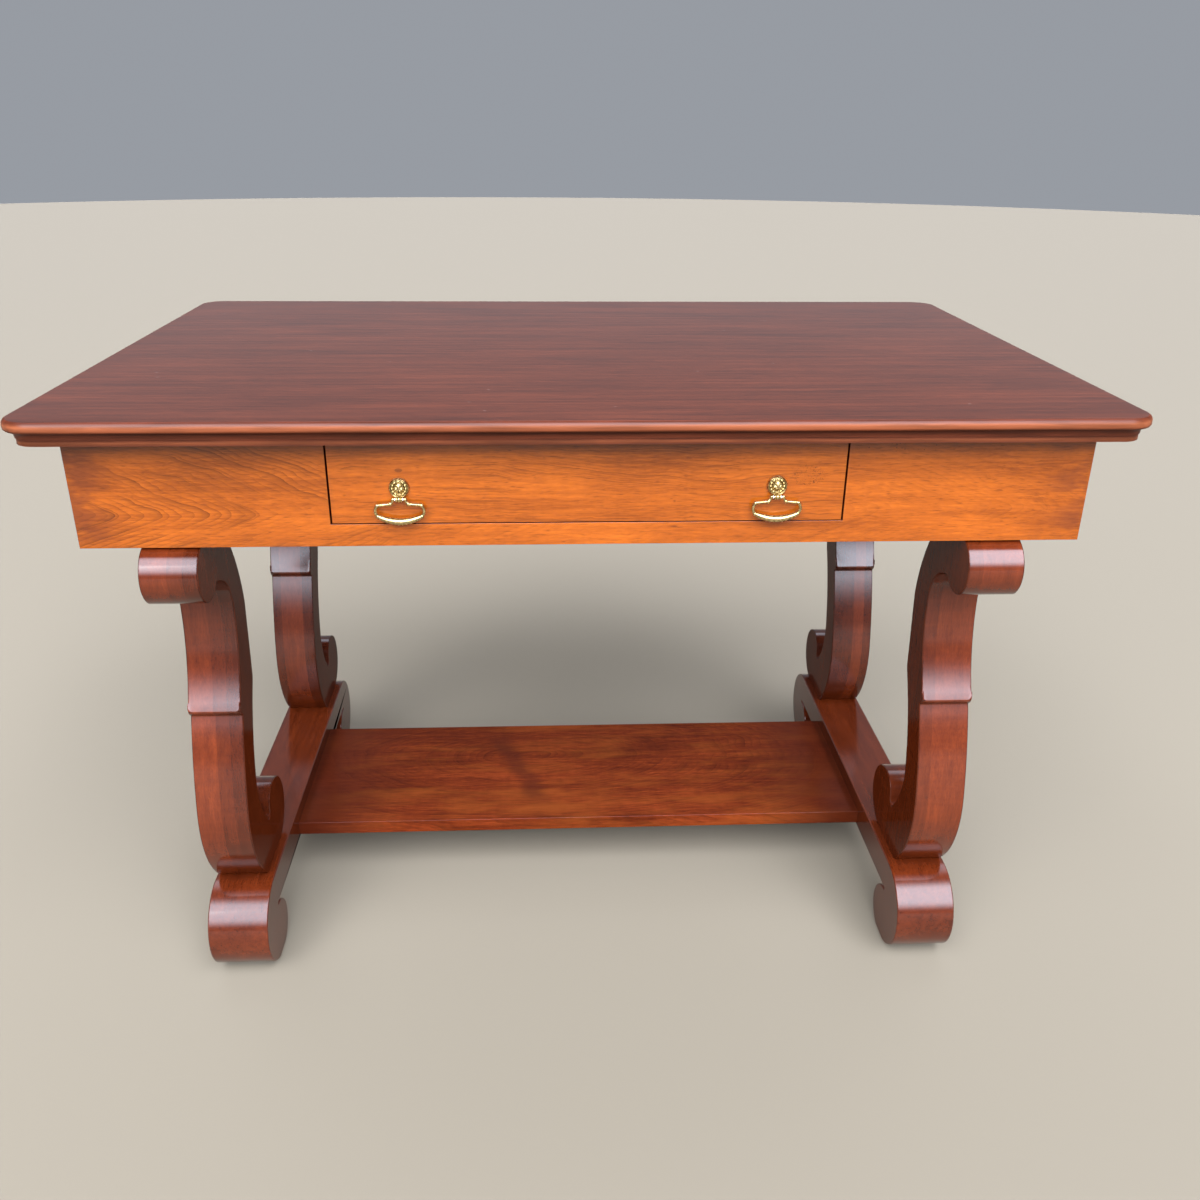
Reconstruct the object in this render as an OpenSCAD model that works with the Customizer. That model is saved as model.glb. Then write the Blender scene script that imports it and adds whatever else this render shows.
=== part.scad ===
// Library desk: a moulded top on a shallow apron with one drawer, four S-scroll legs and a low shelf.
// Millimetres, Z up, front towards -Y. The origin is on the floor under the middle of the top.

/* [Tabletop] */
// Width of the tabletop, left to right
table_w = 1180; // [1000:5:1500]
// Depth of the tabletop, front to back
table_d = 762; // [680:2:900]
// Height of the tabletop above the floor
table_h = 762; // [720:1:800]
// Thickness of the tabletop with its moulding
top_t = 26.5; // [24:0.5:36]
// Corner radius of the tabletop seen from above
top_corner_r = 34; // [18:1:48]
// How far the round of the nose runs in over the top
nose_in = 5; // [3:0.5:14]
// Height of the round on the nose
nose_drop = 6.5; // [4:0.5:9]
// Height of the flat band on the nose
nose_flat = 2; // [1:0.5:3]
// Radius under the nose
nose_under_r = 3.5; // [1:0.5:4]
// Inset of the step between nose and cove
step_in = 4; // [4:0.5:8]
// Inset of the cove itself
cove_in = 5.5; // [3:0.5:9]
// Height of the fillet below the cove
fillet_h = 6.5; // [1:0.5:8]

/* [Apron] */
// How far the top stands out past the apron on every side
overhang = 45; // [30:1:70]
// Height of the apron
apron_h = 122; // [105:1:150]
// Thickness of the apron boards
apron_t = 22; // [18:1:28]
// Height of the strip of apron left below the drawer
low_rail_h = 25; // [18:1:35]
// Height of the bearers that take the leg heads
bearer_h = 30; // [20:1:45]
// Length of the short sides of the corner blocks
block_side = 62; // [40:1:90]
// Thickness of the corner blocks
block_t = 22; // [16:1:30]

/* [Drawer] */
// Width of the drawer opening
opening_w = 555; // [420:5:640]
// Gap at each end of the drawer front
front_gap = 2; // [1:0.5:4]
// Gap under the drawer front
sill_gap = 1; // [0.5:0.5:3]
// Gap above the drawer front
head_gap = 1.5; // [1:0.5:4]
// Thickness of the drawer front
drawer_front_t = 20; // [16:1:22]
// Depth of the drawer from its front face to its back
drawer_len = 500; // [380:5:560]
// Thickness of the drawer sides and back
drawer_side_t = 12; // [10:1:16]
// Thickness of the drawer bottom
drawer_bottom_t = 6; // [4:1:9]
// Height of the bottom's groove above the lower edge of the sides
groove_up = 8; // [6:1:14]
// Depth of that groove
groove_in = 5; // [3:1:7]
// Number of dovetails at each front corner
tail_count = 3; // [2:1:5]
// Width of the strips that carry and guide the drawer
strip_w = 34; // [28:1:50]
// Thickness of the guide beside the drawer
guide_t = 12; // [8:1:18]
// Height of the guide beside the drawer
guide_h = 20; // [12:1:30]
// Height of the kickers above the drawer sides
kicker_h = 20; // [14:1:30]
// Running clearance of the drawer above its strips
slide_play = 0.3; // [0.2:0.1:0.6]
// Running clearance of the drawer at its sides and top
side_play = 1; // [0.5:0.5:2]
// Length of the stop blocks behind the drawer
stop_len = 22; // [12:1:40]

/* [Legs] */
// Width of each leg, left to right
leg_w = 63; // [50:1:80]
// From the end of the apron in to the outer face of the leg
leg_inset = 62; // [40:1:100]
// From the front edge of the top back to the front of the leg scroll
leg_from_front = 27; // [10:1:60]
// From the back edge of the top in to the rear of the leg hook
leg_from_back = 75.5; // [60:0.5:110]
// Radius of the scroll at the head of the leg
scroll_r = 35; // [28:1:42]
// Reach of the scroll in front of the crest line
scroll_reach = 79; // [70:1:100]
// Height of the crest line above the runner
crest_h = 256; // [220:1:290]
// Height of the small lip under the crest
crest_lip = 10; // [4:1:16]
// Depth of the hollow under the scroll, behind the crest line
hollow_in = 31; // [24:1:38]
// From the head of the leg down to the deepest line of that hollow
hollow_drop = 113.5; // [90:0.5:130]
// Length of the flat head behind the scroll
head_flat = 61; // [40:1:70]
// Thickness of the leg at the crest
crest_t = 70; // [60:1:76]
// Rearmost line of the upper back, behind the crest line
back_reach = 78; // [72:1:90]
// Height of that line above the crest
back_up = 112; // [90:1:125]
// How far the belly stands in front of the crest
belly = 25.5; // [18:0.5:34]
// Height of the belly's widest line above the runner
belly_h = 125; // [100:1:140]
// Where the foot of the leg starts, behind the crest
heel_in = 19; // [5:1:30]
// Distance of the hook's middle behind the crest line
hook_mid = 92; // [84:1:100]
// Radius of the hook at the bottom of the leg
hook_r = 47.5; // [42:0.5:50]
// Radius of the hook's inner curl
curl_r = 28; // [22:1:32]
// Width of the notch between hook and leg, at its floor
notch_w = 14; // [10:1:20]
// Waist of the leg above the notch
waist = 50; // [44:1:60]
// Height of the waist above the runner
waist_h = 130; // [112:1:145]

/* [Base] */
// Height of the runner's top above the floor
base_h = 121; // [105:1:140]
// Width of the runner, left to right
runner_w = 76; // [68:1:92]
// Thickness of the runner between its feet
runner_t = 44.5; // [36:0.5:52]
// How far the runner stands out past the leg on the outside
runner_out = 3; // [0:1:8]
// From the edge of the top in to the end of the runner
foot_setback = 55; // [40:1:90]
// Depth of the flat worked on the underside of each foot
foot_flat = 2; // [1:0.5:3]
// From the middle of the foot's round back to the middle of its scroll
foot_shift = 5; // [2:1:10]
// Width of the notch above the scroll of the foot
foot_kerf = 3; // [2:0.5:6]
// Thickness of the foot glides
glide_t = 3; // [2:0.5:6]
// Diameter of the foot glides
glide_d = 28; // [20:1:30]

/* [Shelf] */
// Depth of the shelf, front to back
shelf_d = 265; // [200:5:290]
// Thickness of the shelf
shelf_t = 20; // [16:1:26]
// How far the shelf lies below the runner's top
shelf_drop = 21.5; // [14:0.5:24]
// How deep the shelf is let into the runners
shelf_let = 8; // [4:1:14]
// From the rear of the front leg's hook back to the shelf
shelf_back = 20.5; // [10:0.5:45]

/* [Pulls] */
// Distance between the two pulls
pull_span = 404; // [300:2:460]
// Height of the pull's boss above the lower edge of the drawer front
pull_up = 40; // [34:1:56]
// Diameter of the boss
boss_d = 22; // [18:1:28]
// Height of the boss dome
boss_h = 7; // [5:0.5:10]
// Distance of the bail's pin below the middle of the boss
pin_drop = 11; // [10:0.5:14]
// Distance of the bail's pin in front of the drawer
pin_out = 7; // [6:0.5:10]
// Diameter of the bail's pin
pin_d = 2.8; // [2:0.1:3.4]
// Clearance around the pin
pin_play = 0.1; // [0.05:0.05:0.3]
// Width of the eye that carries the pin
eye_w = 8; // [6:0.5:10]
// Width of the bail
bail_w = 55; // [46:1:70]
// Drop of the grip's middle line below the pin
bail_drop = 25; // [22:0.5:30]
// Diameter of the bail's rod
rod_d = 3.2; // [2.4:0.2:4]
// Diameter of the grip at its middle
grip_d = 7.6; // [5:0.2:9]
// Diameter of the stud that holds the boss
stud_d = 4; // [3:0.5:5]

/* [Fixings] */
// Diameter of the dowels between legs and runners
dowel_d = 12; // [8:1:16]
// Length of those dowels
dowel_len = 60; // [40:1:70]
// Diameter of the wood screws
screw_d = 5; // [4:0.5:6]
// Length of the screws through the bearers into the legs
leg_screw_len = 65; // [50:1:80]
// Length of the screws up into the top
top_screw_len = 36; // [30:1:40]
// Length of the small screws in the drawer bottom
small_screw_len = 16; // [12:1:20]
// Diameter of those small screws
small_screw_d = 3; // [2.5:0.5:4]
// Clearance around dowels, screws and studs
fit_play = 0.1; // [0.05:0.05:0.3]

/* [Hidden] */

dark_wood = "#5a2a1c";
red_wood = "#7d3320";
apron_wood = "#b4602a";
pale_wood = "#c9a26c";
brass = "#d8b45a";
steel = "#8d8d90";
felt = "#2b2622";

// heights
top_z = table_h - top_t;
apron_z = top_z - apron_h;
sill_z = apron_z + low_rail_h;
runner_z = base_h - runner_t;
leg_h = apron_z - base_h;

// moulded edge of the top
cove_top = nose_drop + nose_flat + nose_under_r;
cove_h = top_t - fillet_h - cove_top;
fillet_in = step_in + cove_in + 1;

// places across and along the desk
apron_x = table_w / 2 - overhang;
apron_y = table_d / 2 - overhang;
inner_x = apron_x - apron_t;
inner_y = apron_y - apron_t;
leg_x = apron_x - leg_inset;
runner_x = leg_x + runner_out;
runner_in_x = runner_x - runner_w;
runner_end = table_d / 2 - foot_setback;
hook_reach = hook_mid + hook_r;
front_leg_y = scroll_reach + leg_from_front - table_d / 2;
back_leg_y = table_d / 2 - leg_from_back - hook_reach;
shelf_y = front_leg_y + hook_reach + shelf_back;

// drawer
front_w = opening_w - 2 * front_gap;
front_z = sill_z + sill_gap;
front_h = top_z - head_gap - front_z;
box_x = front_w / 2 - side_play;
box_y = drawer_front_t - apron_y;
box_end = drawer_len - apron_y;
box_z = sill_z + slide_play;
box_h = top_z - kicker_h - side_play - box_z;
strip_x = box_x + side_play + guide_t;
panel_z = box_z + groove_up;
tail_len = drawer_side_t;
tail_slope = 1 / 6;
// share of each dovetail's pitch that is tail, halved
tail_share = 0.36;

// how far back the lip under the crest runs, as a share of its height
lip_slope = 0.8;
// legs: where the hollow meets the scroll, the rear crest and the swells of the long curves
scroll_joint = -43;
rear_crest_up = 14;
rear_crest_step = [2, 6];
belly_low_sag = 17;
belly_high_sag = 3.5;
back_sag = 13;
flank_sag = 7.5;
throat_sag = 6;

// feet
foot_r = (base_h - glide_t + foot_flat) / 2;
foot_mid_z = base_h - foot_r;
foot_mid = runner_end - foot_r;
scroll_foot_r = (runner_z - foot_kerf - glide_t + foot_flat) / 2;
scroll_foot_z = runner_z - foot_kerf - scroll_foot_r;
scroll_foot_y = foot_mid - foot_shift;
heel_angle = acos((foot_mid_z - glide_t) / foot_r);
toe_angle = acos((scroll_foot_z - glide_t) / scroll_foot_r);
glide_y = (foot_mid + foot_r * sin(heel_angle) + scroll_foot_y - scroll_foot_r * sin(toe_angle)) / 2;

// pulls
pull_z = front_z + pull_up;
pin_z = pull_z - pin_drop;
pin_y = -apron_y - pin_out;
eye_wall = 1.6;
eye_r = pin_d / 2 + pin_play + eye_wall;
plate_t = 2;
dome_edge = boss_d / 2 - 1;
dome_rise = boss_h - plate_t;
dome_r = (dome_edge * dome_edge + dome_rise * dome_rise) / (2 * dome_rise);
washer_t = 1;
nut_t = 3;
stud_len = drawer_front_t + washer_t + nut_t + 2;

// bail, as [x, z] from the middle of its pin
bead_d = rod_d + 1.2;
arm_x = eye_w / 2 + bead_d / 2 + 0.3;
elbow = [arm_x + 2.5, -5];
shoulder = [bail_w / 2 - 4, -6.5];
corner = [bail_w / 2 - 4.5, -19];
side_swell = 2.6;

// fixings
// both screws of a leg, measured back from the middle of its scroll
leg_screw_at = [14, 40];
// dowels, measured back from the front of the leg's foot
dowel_from_heel = 18;
dowel_pitch = 36;
// screw in each corner block, measured from the aprons
block_hole = 20;
// screws along the back of the drawer bottom
bottom_screws = 3;

facets = 48;
small = 0.01;

// points on a circle from angle a to angle b, both ends included
function turn(mid, r, a, b, n = 12) =
    [for (i = [0 : n]) mid + r * [cos(a + (b - a) * i / n), sin(a + (b - a) * i / n)]];

// points on the bow from p to q that swells by s to the left of the way, both ends included
function bow(p, q, s, n = 12) =
    let (
        way = q - p,
        c = norm(way),
        r = (c * c / 4 + s * s) / (2 * abs(s)),
        side = [-way[1], way[0]] / c,
        mid = (p + q) / 2 + side * (s - sign(s) * r),
        from = atan2(p[1] - mid[1], p[0] - mid[0]),
        sweep = -sign(s) * 2 * asin(c / (2 * r))
    )
    turn(mid, r, from, from + sweep, n);

// the same outline without points that repeat
function clean(points) = [for (i = [0 : len(points) - 1])
    if (norm(points[i] - points[(i + 1) % len(points)]) > small) points[i]];

function flip(points) = [for (i = [len(points) - 1 : -1 : 0]) [-points[i][0], points[i][1]]];

// an outline drawn in [front-to-back, up] is pushed along X from x to x + w
module across(x, w) {
    translate([x, 0, 0]) rotate([90, 0, 90]) linear_extrude(w) children();
}

// a copy for the left is the right one mirrored
module sided(side) {
    mirror([side < 0 ? 1 : 0, 0, 0]) children();
}

// a countersunk wood screw that points up from its slotted head; play makes the hole for it
module wood_screw(length, d, play = 0) {
    slot_w = d / 6;
    cylinder(h = length + play, r = d / 2 + play, $fn = facets);
    difference() {
        translate([0, 0, -play])
            cylinder(h = d / 2 + play, r1 = d + play, r2 = d / 2 + play, $fn = facets);
        if (play == 0) translate([-d, -slot_w / 2, -small]) cube([2 * d, slot_w, slot_w]);
    }
}

// tabletop

// the moulded edge as [inset from the edge, depth below the top]
function edge_points() = concat(
    [for (a = [0 : 15 : 90]) [nose_in * (1 - sin(a)), nose_drop * (1 - cos(a))]],
    [for (a = [0 : 22.5 : 90]) [nose_under_r * (1 - cos(a)), cove_top - nose_under_r * (1 - sin(a))]],
    [for (a = [90 : -15 : 0]) [step_in + cove_in * cos(a), top_t - fillet_h - cove_h * sin(a)]],
    [[fillet_in, top_t - fillet_h], [fillet_in, top_t]]
);

module edge_section(half) {
    side = [for (p = edge_points()) [half - p[0], table_h - p[1]]];
    polygon(concat(side, flip(side)));
}

module top_corner(x, y) {
    turned = (x > 0 ? 0 : 90) + (y > 0 ? 0 : (x > 0 ? -90 : 90));
    outline = [for (p = edge_points()) [top_corner_r - p[0], table_h - p[1]]];
    translate([x, y, 0]) rotate([0, 0, turned]) rotate_extrude(angle = 90, $fn = 96)
        polygon(concat([[0, top_z], [0, table_h]], outline));
}

module tabletop() {
    x = table_w / 2 - top_corner_r;
    y = table_d / 2 - top_corner_r;
    color(dark_wood) difference() {
        union() {
            across(-x, 2 * x) edge_section(table_d / 2);
            rotate([0, 0, 90]) across(-y, 2 * y) edge_section(table_w / 2);
            for (sx = [-1, 1], sy = [-1, 1]) top_corner(sx * x, sy * y);
        }
        top_fixings(fit_play);
    }
}

// apron box

module front_apron() {
    color(apron_wood) difference() {
        translate([-apron_x, -apron_y, apron_z]) cube([2 * apron_x, apron_t, apron_h]);
        translate([-opening_w / 2, -apron_y - 1, sill_z]) cube([opening_w, apron_t + 2, apron_h]);
    }
}

module back_apron() {
    color(apron_wood) translate([-apron_x, inner_y, apron_z]) cube([2 * apron_x, apron_t, apron_h]);
}

module end_apron(side) {
    color(apron_wood) sided(side) translate([inner_x, -inner_y, apron_z])
        cube([apron_t, 2 * inner_y, apron_h]);
}

module bearer(side) {
    color(pale_wood) sided(side) difference() {
        translate([leg_x - leg_w, -inner_y, apron_z]) cube([leg_w, 2 * inner_y, bearer_h]);
        leg_fixings(fit_play);
    }
}

module corner_block(x, y) {
    color(pale_wood) difference() {
        translate([x * inner_x, y * inner_y, top_z - block_t]) mirror([x > 0 ? 1 : 0, 0, 0])
            mirror([0, y > 0 ? 1 : 0, 0]) linear_extrude(block_t)
            polygon([[0, 0], [block_side, 0], [0, block_side]]);
        top_fixings(fit_play);
    }
}

// drawer carriage

module drawer_strip(side) {
    color(pale_wood) sided(side) translate([strip_x - strip_w, -inner_y, apron_z])
        cube([strip_w, 2 * inner_y, low_rail_h]);
}

module drawer_guide(side) {
    color(pale_wood) sided(side) translate([strip_x - guide_t, -inner_y, sill_z])
        cube([guide_t, 2 * inner_y, guide_h]);
}

module kicker(side) {
    color(pale_wood) difference() {
        sided(side) translate([strip_x - strip_w, -inner_y, top_z - kicker_h])
            cube([strip_w, 2 * inner_y, kicker_h]);
        top_fixings(fit_play);
    }
}

module drawer_stops() {
    color(pale_wood) for (side = [-1, 1]) sided(side)
        translate([strip_x - strip_w, box_end + side_play / 2, sill_z])
        cube([strip_w - guide_t, stop_len, guide_h]);
}

// legs

// the S outline as [behind the crest line, above the runner]
function leg_points() =
    let (
        scroll = [scroll_r - scroll_reach, leg_h - scroll_r],
        joint = scroll + scroll_r * [cos(scroll_joint), sin(scroll_joint)],
        deepest = [hollow_in, leg_h - hollow_drop],
        low = deepest - [0, crest_h],
        low_r = (low * low) / (2 * hollow_in),
        high = joint - deepest,
        high_r = -(high * high) / (2 * high[0]),
        head = [scroll[0] + head_flat, leg_h],
        widest = [-belly, belly_h],
        lip = [lip_slope * crest_lip, crest_h - crest_lip],
        rear = [crest_t, crest_h + rear_crest_up],
        throat = [waist - belly, waist_h],
        curl = [hook_mid, 2 * hook_r - curl_r],
        notch = curl - [curl_r + notch_w / 2, 0]
    )
    concat(
        bow([heel_in, 0], widest, belly_low_sag),
        bow(widest, lip, belly_high_sag),
        [[crest_lip / 5, crest_h - crest_lip / 2], [0, crest_h - crest_lip / 4]],
        turn(deepest - [low_r, 0], low_r, -asin(low[1] / low_r), 0, 12),
        turn(deepest - [high_r, 0], high_r, 0, atan2(high[1], high[0] + high_r), 10),
        turn(scroll, scroll_r, scroll_joint, -270, 30),
        bow(head, [back_reach, crest_h + back_up], back_sag),
        [rear],
        bow(rear - rear_crest_step, throat, -flank_sag, 10),
        bow(throat, notch - [notch_w / 2, 0], -throat_sag, 8),
        turn(notch, notch_w / 2, 180, 360, 8),
        turn(curl, curl_r, 180, 90, 8),
        turn([hook_mid, hook_r], hook_r, 90, -90, 24)
    );

module leg(side, y) {
    color(red_wood) sided(side) difference() {
        translate([0, y, base_h]) across(leg_x - leg_w, leg_w) polygon(clean(leg_points()));
        leg_fixings(fit_play);
        foot_dowels(fit_play);
    }
}

// base

function foot_points() = concat(
    turn([foot_mid, foot_mid_z], foot_r, 90, -90 + heel_angle, 24),
    turn([scroll_foot_y, scroll_foot_z], scroll_foot_r, 270 - toe_angle, 90, 20),
    turn([scroll_foot_y, runner_z - foot_kerf / 2], foot_kerf / 2, -90, 90, 6)
);

module runner(side) {
    color(red_wood) sided(side) difference() {
        across(runner_in_x, runner_w) polygon(clean(concat(foot_points(), flip(foot_points()))));
        translate([runner_in_x - small, shelf_y, base_h - shelf_drop - shelf_t])
            cube([shelf_let + small, shelf_d, shelf_t]);
        foot_dowels(fit_play);
    }
}

module glide(x, y) {
    color(felt) translate([x * (runner_x - runner_w / 2), y * glide_y, 0])
        cylinder(h = glide_t, d = glide_d, $fn = facets);
}

module shelf() {
    half = runner_in_x + shelf_let;
    color(red_wood) translate([-half, shelf_y, base_h - shelf_drop - shelf_t])
        cube([2 * half, shelf_d, shelf_t]);
}

// fixings of the right-hand side, drawn as they are or, with play, as their holes

module foot_dowels(play = 0) {
    for (y = [front_leg_y, back_leg_y], i = [0, 1]) {
        dowel_y = y + heel_in + dowel_from_heel + i * dowel_pitch;
        translate([leg_x - leg_w / 2, dowel_y, base_h - dowel_len / 2 - play])
            cylinder(h = dowel_len + 2 * play, d = dowel_d + 2 * play, $fn = facets);
    }
}

module leg_fixings(play = 0) {
    for (y = [front_leg_y, back_leg_y], s = leg_screw_at)
        translate([leg_x - leg_w / 2, y + scroll_r - scroll_reach + s, apron_z + bearer_h])
        rotate([180, 0, 0]) wood_screw(leg_screw_len, screw_d, play);
}

module top_fixings(play = 0) {
    for (x = [-1, 1], y = [-1, 1]) {
        translate([x * (inner_x - block_hole), y * (inner_y - block_hole), top_z - block_t])
            wood_screw(top_screw_len, screw_d, play);
        translate([x * (strip_x - strip_w / 2), y * inner_y / 2, top_z - kicker_h])
            wood_screw(top_screw_len + kicker_h - block_t, screw_d, play);
    }
}

module leg_dowels() {
    color(pale_wood) for (side = [-1, 1]) sided(side) foot_dowels();
}

module leg_screws() {
    color(steel) for (side = [-1, 1]) sided(side) leg_fixings();
}

module top_screws() {
    color(steel) top_fixings();
}

// drawer

// one dovetail row of the right-hand side, wider at the tip
module tails() {
    pitch = box_h / tail_count;
    half = pitch * tail_share;
    for (i = [0 : tail_count - 1]) {
        z = box_z + pitch * (i + 0.5);
        across(box_x - drawer_side_t, drawer_side_t) polygon([
            [box_y, z - half + tail_slope * tail_len], [box_y - tail_len, z - half],
            [box_y - tail_len, z + half], [box_y, z + half - tail_slope * tail_len]]);
    }
}

module drawer_panel() {
    x = box_x - drawer_side_t + groove_in;
    translate([-x, box_y - groove_in, panel_z])
        cube([2 * x, box_end - box_y + groove_in, drawer_bottom_t]);
}

module stud_holes() {
    for (x = [-1, 1]) translate([x * pull_span / 2, box_y + 1, pull_z]) rotate([90, 0, 0])
        cylinder(h = drawer_front_t + 2, d = stud_d + 2 * fit_play, $fn = facets);
}

module drawer_front() {
    color(apron_wood) difference() {
        translate([-front_w / 2, -apron_y, front_z]) cube([front_w, drawer_front_t, front_h]);
        for (side = [-1, 1]) sided(side) tails();
        drawer_panel();
        stud_holes();
    }
}

module drawer_side(side) {
    color(pale_wood) sided(side) difference() {
        union() {
            translate([box_x - drawer_side_t, box_y, box_z]) cube([drawer_side_t, box_end - box_y, box_h]);
            tails();
        }
        drawer_panel();
    }
}

module drawer_back() {
    half = box_x - drawer_side_t;
    low = panel_z + drawer_bottom_t;
    color(pale_wood) difference() {
        translate([-half, box_end - drawer_side_t, low])
            cube([2 * half, drawer_side_t, box_z + box_h - low]);
        small_fixings(fit_play);
    }
}

module drawer_bottom() {
    color(pale_wood) difference() {
        drawer_panel();
        small_fixings(fit_play);
    }
}

module small_fixings(play = 0) {
    span = 2 * (box_x - drawer_side_t) / (bottom_screws + 1);
    for (i = [1 : bottom_screws])
        translate([span * (i - (bottom_screws + 1) / 2), box_end - drawer_side_t / 2, panel_z])
        wood_screw(small_screw_len, small_screw_d, play);
}

module drawer_screws() {
    color(steel) small_fixings();
}

// pulls

// a domed boss with an eye below for the bail's pin, and a stud behind
module boss(side) {
    color(brass) translate([side * pull_span / 2, -apron_y, pull_z]) rotate([90, 0, 0]) difference() {
        union() {
            cylinder(h = plate_t, d = boss_d, $fn = facets);
            rotate_extrude($fn = facets) intersection() {
                translate([0, boss_h - dome_r]) circle(r = dome_r, $fn = 2 * facets);
                square([dome_edge, boss_h]);
            }
            translate([0, -pin_drop, 0]) cylinder(h = pin_out, r = eye_r, $fn = facets);
            translate([-eye_w / 2, -pin_drop, pin_out]) rotate([0, 90, 0])
                cylinder(h = eye_w, r = eye_r, $fn = facets);
            translate([0, 0, -stud_len]) cylinder(h = stud_len + 1, d = stud_d, $fn = facets);
        }
        translate([-eye_w, -pin_drop, pin_out]) rotate([0, 90, 0])
            cylinder(h = 2 * eye_w, d = pin_d + 2 * pin_play, $fn = facets);
    }
}

// washer and hexagon nut behind the drawer front
module pull_nuts() {
    color(brass) for (x = [-1, 1])
        translate([x * pull_span / 2, box_y, pull_z]) rotate([-90, 0, 0]) difference() {
            union() {
                cylinder(h = washer_t, r = 1.6 * stud_d, $fn = facets);
                cylinder(h = washer_t + nut_t, r = stud_d, $fn = 6);
            }
            translate([0, 0, -1]) cylinder(h = nut_t + 3, d = stud_d + 2 * fit_play, $fn = facets);
        }
}

// middle line of the bail's right half from its pin to its grip, as [x, z] from the pin
function arm_points() = concat([[arm_x, 0], elbow], bow(shoulder, corner, side_swell, 6));
function grip_points(n = 16) = [for (i = [0 : n]) let (t = 1 - 2 * i / n)
    corner[0] * t * [1, 0] + [0, corner[1] - (bail_drop + corner[1]) * (1 - t * t)]];
function bail_line() = clean(concat(arm_points(), grip_points(), flip(arm_points())));
function swell(p) = p[1] <= corner[1]
    ? (rod_d + (grip_d - rod_d) * (1 - pow(p[0] / corner[0], 2))) / 2 : rod_d / 2;

// a round rod of changing thickness along a line in the plane of X and Z
module rod(line, sides = 12) {
    n = len(line);
    points = [for (i = [0 : n - 1]) let (
            way = line[min(i + 1, n - 1)] - line[max(i - 1, 0)],
            out = [-way[1], way[0]] / norm(way),
            r = swell(line[i])
        ) for (k = [0 : sides - 1]) let (a = 360 * k / sides)
            [line[i][0] + r * cos(a) * out[0], r * sin(a), line[i][1] + r * cos(a) * out[1]]];
    walls = [for (i = [0 : n - 2], k = [0 : sides - 1])
        let (j = (k + 1) % sides, a = i * sides, b = a + sides)
        each [[a + k, a + j, b + j], [a + k, b + j, b + k]]];
    last = (n - 1) * sides * [1, 1, 1];
    ends = [for (k = [1 : sides - 2]) each [[0, k + 1, k], last + [0, k, k + 1]]];
    polyhedron(points, concat(walls, ends));
}

module bail(side) {
    color(brass) translate([side * pull_span / 2, pin_y, pin_z]) {
        rod(bail_line());
        translate([-arm_x, 0, 0]) rotate([0, 90, 0]) cylinder(h = 2 * arm_x, d = pin_d, $fn = facets);
        for (x = [-1, 1], p = [[arm_x, 0], elbow, shoulder])
            translate([x * p[0], 0, p[1]]) sphere(d = bead_d, $fn = facets);
    }
}

tabletop();
front_apron();
back_apron();
end_apron(-1);  // end_apron_left
end_apron(1);  // end_apron_right
bearer(-1);  // bearer_left
bearer(1);  // bearer_right
corner_block(-1, -1);  // corner_block_front_left
corner_block(1, -1);  // corner_block_front_right
corner_block(-1, 1);  // corner_block_back_left
corner_block(1, 1);  // corner_block_back_right
drawer_strip(-1);  // drawer_strip_left
drawer_strip(1);  // drawer_strip_right
drawer_guide(-1);  // drawer_guide_left
drawer_guide(1);  // drawer_guide_right
kicker(-1);  // kicker_left
kicker(1);  // kicker_right
drawer_stops();
leg(-1, front_leg_y);  // leg_front_left
leg(1, front_leg_y);  // leg_front_right
leg(-1, back_leg_y);  // leg_back_left
leg(1, back_leg_y);  // leg_back_right
runner(-1);  // runner_left
runner(1);  // runner_right
glide(-1, -1);  // glide_front_left
glide(1, -1);  // glide_front_right
glide(-1, 1);  // glide_back_left
glide(1, 1);  // glide_back_right
shelf();
leg_dowels();
leg_screws();
top_screws();
drawer_front();
drawer_side(-1);  // drawer_side_left
drawer_side(1);  // drawer_side_right
drawer_back();
drawer_bottom();
drawer_screws();
boss(-1);  // boss_left
boss(1);  // boss_right
pull_nuts();
bail(-1);  // bail_left
bail(1);  // bail_right
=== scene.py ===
"""Library desk: finishes, eased edges, the moulded top and the cast brass pulls over the solids.

Metres, Z up, drawer side towards -Y, origin on the floor under the middle of the top.
"""

import math

import bmesh
import bpy
from mathutils import Matrix, Vector


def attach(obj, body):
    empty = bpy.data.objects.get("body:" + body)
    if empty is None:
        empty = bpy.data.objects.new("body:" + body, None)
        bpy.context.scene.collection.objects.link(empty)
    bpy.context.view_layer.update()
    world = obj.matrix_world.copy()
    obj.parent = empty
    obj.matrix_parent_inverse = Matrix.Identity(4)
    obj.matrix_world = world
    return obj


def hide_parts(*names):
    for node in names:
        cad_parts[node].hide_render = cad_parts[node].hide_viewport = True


MM = 0.001
TABLE_W, TABLE_D, TABLE_H = 1180 * MM, 762 * MM, 762 * MM
TOP_T = 26.5 * MM
CORNER_R = 34 * MM
APRON_Y = -336 * MM
OPENING_W, RAIL_TOP_Z = 555 * MM, 638.5 * MM
LEG_X, LEG_W, STRIP_W = 483 * MM, 63 * MM, 16.5 * MM
FRONT_LEG_Y, BACK_LEG_Y = -275 * MM, 166 * MM
CREST_Z = 377 * MM
PULL_X, PULL_Z = 202 * MM, 679.5 * MM
PIN_OUT, PIN_DROP = 7 * MM, 11 * MM

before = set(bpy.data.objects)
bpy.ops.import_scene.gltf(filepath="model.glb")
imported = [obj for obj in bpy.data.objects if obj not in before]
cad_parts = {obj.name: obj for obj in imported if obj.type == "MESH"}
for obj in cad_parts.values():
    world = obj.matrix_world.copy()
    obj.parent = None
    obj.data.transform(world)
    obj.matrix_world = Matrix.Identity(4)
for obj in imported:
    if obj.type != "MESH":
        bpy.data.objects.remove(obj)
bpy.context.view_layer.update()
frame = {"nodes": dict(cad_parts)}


# ---------------------------------------------------------------- node helpers


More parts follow.
